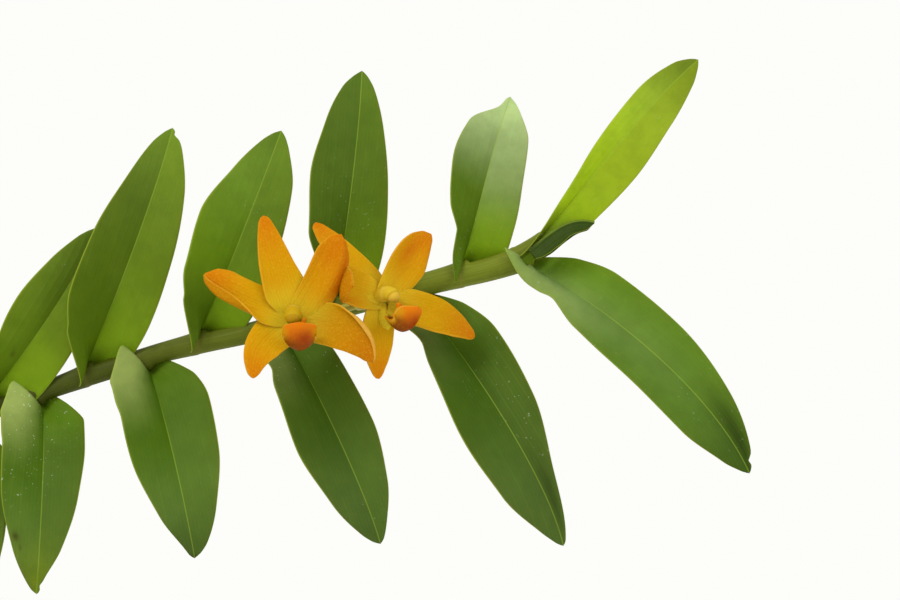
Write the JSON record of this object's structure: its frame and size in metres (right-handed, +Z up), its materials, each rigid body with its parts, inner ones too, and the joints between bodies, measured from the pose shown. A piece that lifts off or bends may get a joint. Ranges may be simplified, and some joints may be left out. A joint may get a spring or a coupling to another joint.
{
  "type": "potted dendrobium orchid",
  "caption": "Orchid with an arching leafy cane and golden flowers, an old cane and young growth, rooted in bark in a round clay pot.",
  "frame": {"origin": "centre of the pot's underside, on the floor", "axes": "+Z up, +X the way the long cane arches over the pot's rim, -Y the side that the flowers face"},
  "size_m": [0.3559, 0.1414, 0.3245],
  "materials": {
    "leaf": "satin",
    "young_leaf": "satin",
    "cane": "satin",
    "old_cane": "matte",
    "petal": "satin",
    "lip": "satin",
    "column": "satin",
    "stalk": "satin",
    "root": "matte",
    "bark": "matte",
    "clay": "matte"
  },
  "bodies": {
    "root": {"pot": "clay", "bark_mix": "bark", "rhizome_and_roots": "root", "main_cane": "cane", "old_cane": "old_cane", "young_leafy_cane": "cane", "new_shoot": "young_leaf", "leaf_01": "leaf", "leaf_02": "leaf", "leaf_03": "leaf", "leaf_04": "leaf", "leaf_05": "leaf", "leaf_06": "leaf", "leaf_07": "leaf", "leaf_08": "leaf", "leaf_09": "leaf", "leaf_10": "leaf", "leaf_11": "leaf", "leaf_12": "leaf", "leaf_13": "leaf", "leaf_14": "leaf", "leaf_15": "leaf", "leaf_16": "leaf", "leaf_17": "young_leaf", "leaf_18_folded": "leaf", "flower_stalks": "stalk", "flower_left_perianth": "petal", "flower_left_column": "column", "flower_left_lip": "lip", "flower_right_perianth": "petal", "flower_right_column": "column", "flower_right_lip": "lip"}
  },
  "joints": []
}
